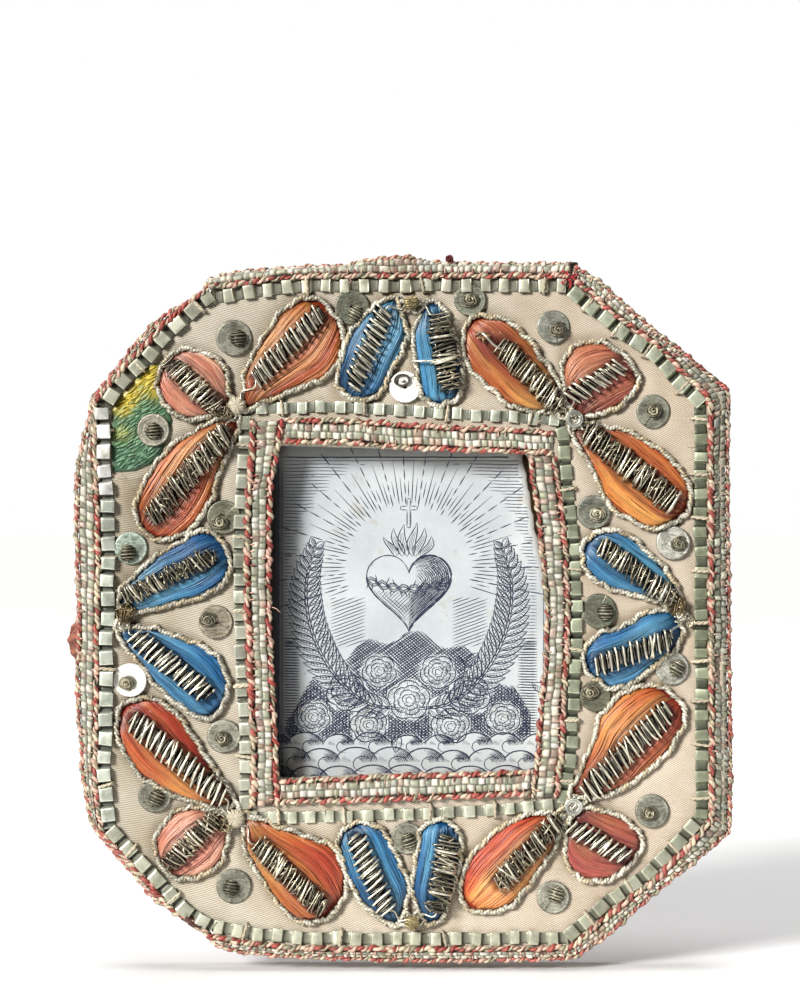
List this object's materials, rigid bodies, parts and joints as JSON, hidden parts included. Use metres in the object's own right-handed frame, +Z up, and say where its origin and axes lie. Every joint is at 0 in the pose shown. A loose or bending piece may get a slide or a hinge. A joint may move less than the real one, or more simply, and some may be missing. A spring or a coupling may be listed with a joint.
{
  "type": "embroidered reliquary",
  "caption": "Eight-sided silk-covered card frame with padded satin-stitch petals, metal cord, purl, sequins and braid round a recessed printed paper.",
  "frame": {"origin": "middle of the flat back face, level with the middle of the height", "axes": "+Z up the upright frame, -Y out of the embroidered front, +Y out of the back, +X to the right seen from the front"},
  "size_m": [0.0988, 0.0109, 0.1061],
  "materials": {
    "backing_cloth": "coarse plain-weave cotton, worn",
    "card": "layered card",
    "printed_paper": "laid paper with foxing and a line print",
    "cream_silk": "ribbed silk",
    "figured_silk": "green and yellow figured silk",
    "metal_braid": "woven flat metal strip with red silk edges",
    "crimped_strip": "tarnished crimped strip",
    "metal_cord": "two-ply metal-wrapped cord",
    "purl_wire": "tarnished coiled wire",
    "sequin_metal": "tarnished sheet",
    "orange_silk": "floss silk satin stitch",
    "blue_silk": "floss silk satin stitch"
  },
  "bodies": {
    "root": {"back_cloth": "backing_cloth", "back_board": "card", "picture_print": "printed_paper", "front_board": "card", "front_cloth": "cream_silk", "leaf_patch": "figured_silk", "inner_braid_left": "metal_braid", "inner_braid_right": "metal_braid", "inner_braid_top": "metal_braid", "inner_braid_bottom": "metal_braid", "outer_braid_top": "metal_braid", "outer_braid_sides": "metal_braid", "outer_crimped_strip": "crimped_strip", "inner_crimped_strip": "crimped_strip", "petal_silk_top_left": "orange_silk", "outline_cord_top_left": "metal_cord", "purl_top_left": "purl_wire", "petal_silk_top_right": "orange_silk", "outline_cord_top_right": "metal_cord", "purl_top_right": "purl_wire", "petal_silk_bottom_left": "orange_silk", "outline_cord_bottom_left": "metal_cord", "purl_bottom_left": "purl_wire", "petal_silk_bottom_right": "orange_silk", "outline_cord_bottom_right": "metal_cord", "purl_bottom_right": "purl_wire", "petal_silk_top_mid": "blue_silk", "outline_cord_top_mid": "metal_cord", "purl_top_mid": "purl_wire", "petal_silk_bottom_mid": "blue_silk", "outline_cord_bottom_mid": "metal_cord", "purl_bottom_mid": "purl_wire", "petal_silk_left_mid": "blue_silk", "outline_cord_left_mid": "metal_cord", "purl_left_mid": "purl_wire", "petal_silk_right_mid": "blue_silk", "outline_cord_right_mid": "metal_cord", "purl_right_mid": "purl_wire", "sequin_01": "sequin_metal", "sequin_02": "sequin_metal", "sequin_03": "sequin_metal", "sequin_04": "sequin_metal", "sequin_05": "sequin_metal", "sequin_06": "sequin_metal", "sequin_07": "sequin_metal", "sequin_08": "sequin_metal", "sequin_09": "sequin_metal", "sequin_10": "sequin_metal", "sequin_11": "sequin_metal", "sequin_12": "sequin_metal", "sequin_13": "sequin_metal", "sequin_14": "sequin_metal", "sequin_15": "sequin_metal", "sequin_16": "sequin_metal", "sequin_17": "sequin_metal", "sequin_18": "sequin_metal", "sequin_19": "sequin_metal", "sequin_20": "sequin_metal", "sequin_21": "sequin_metal", "sequin_22": "sequin_metal"}
  },
  "joints": []
}
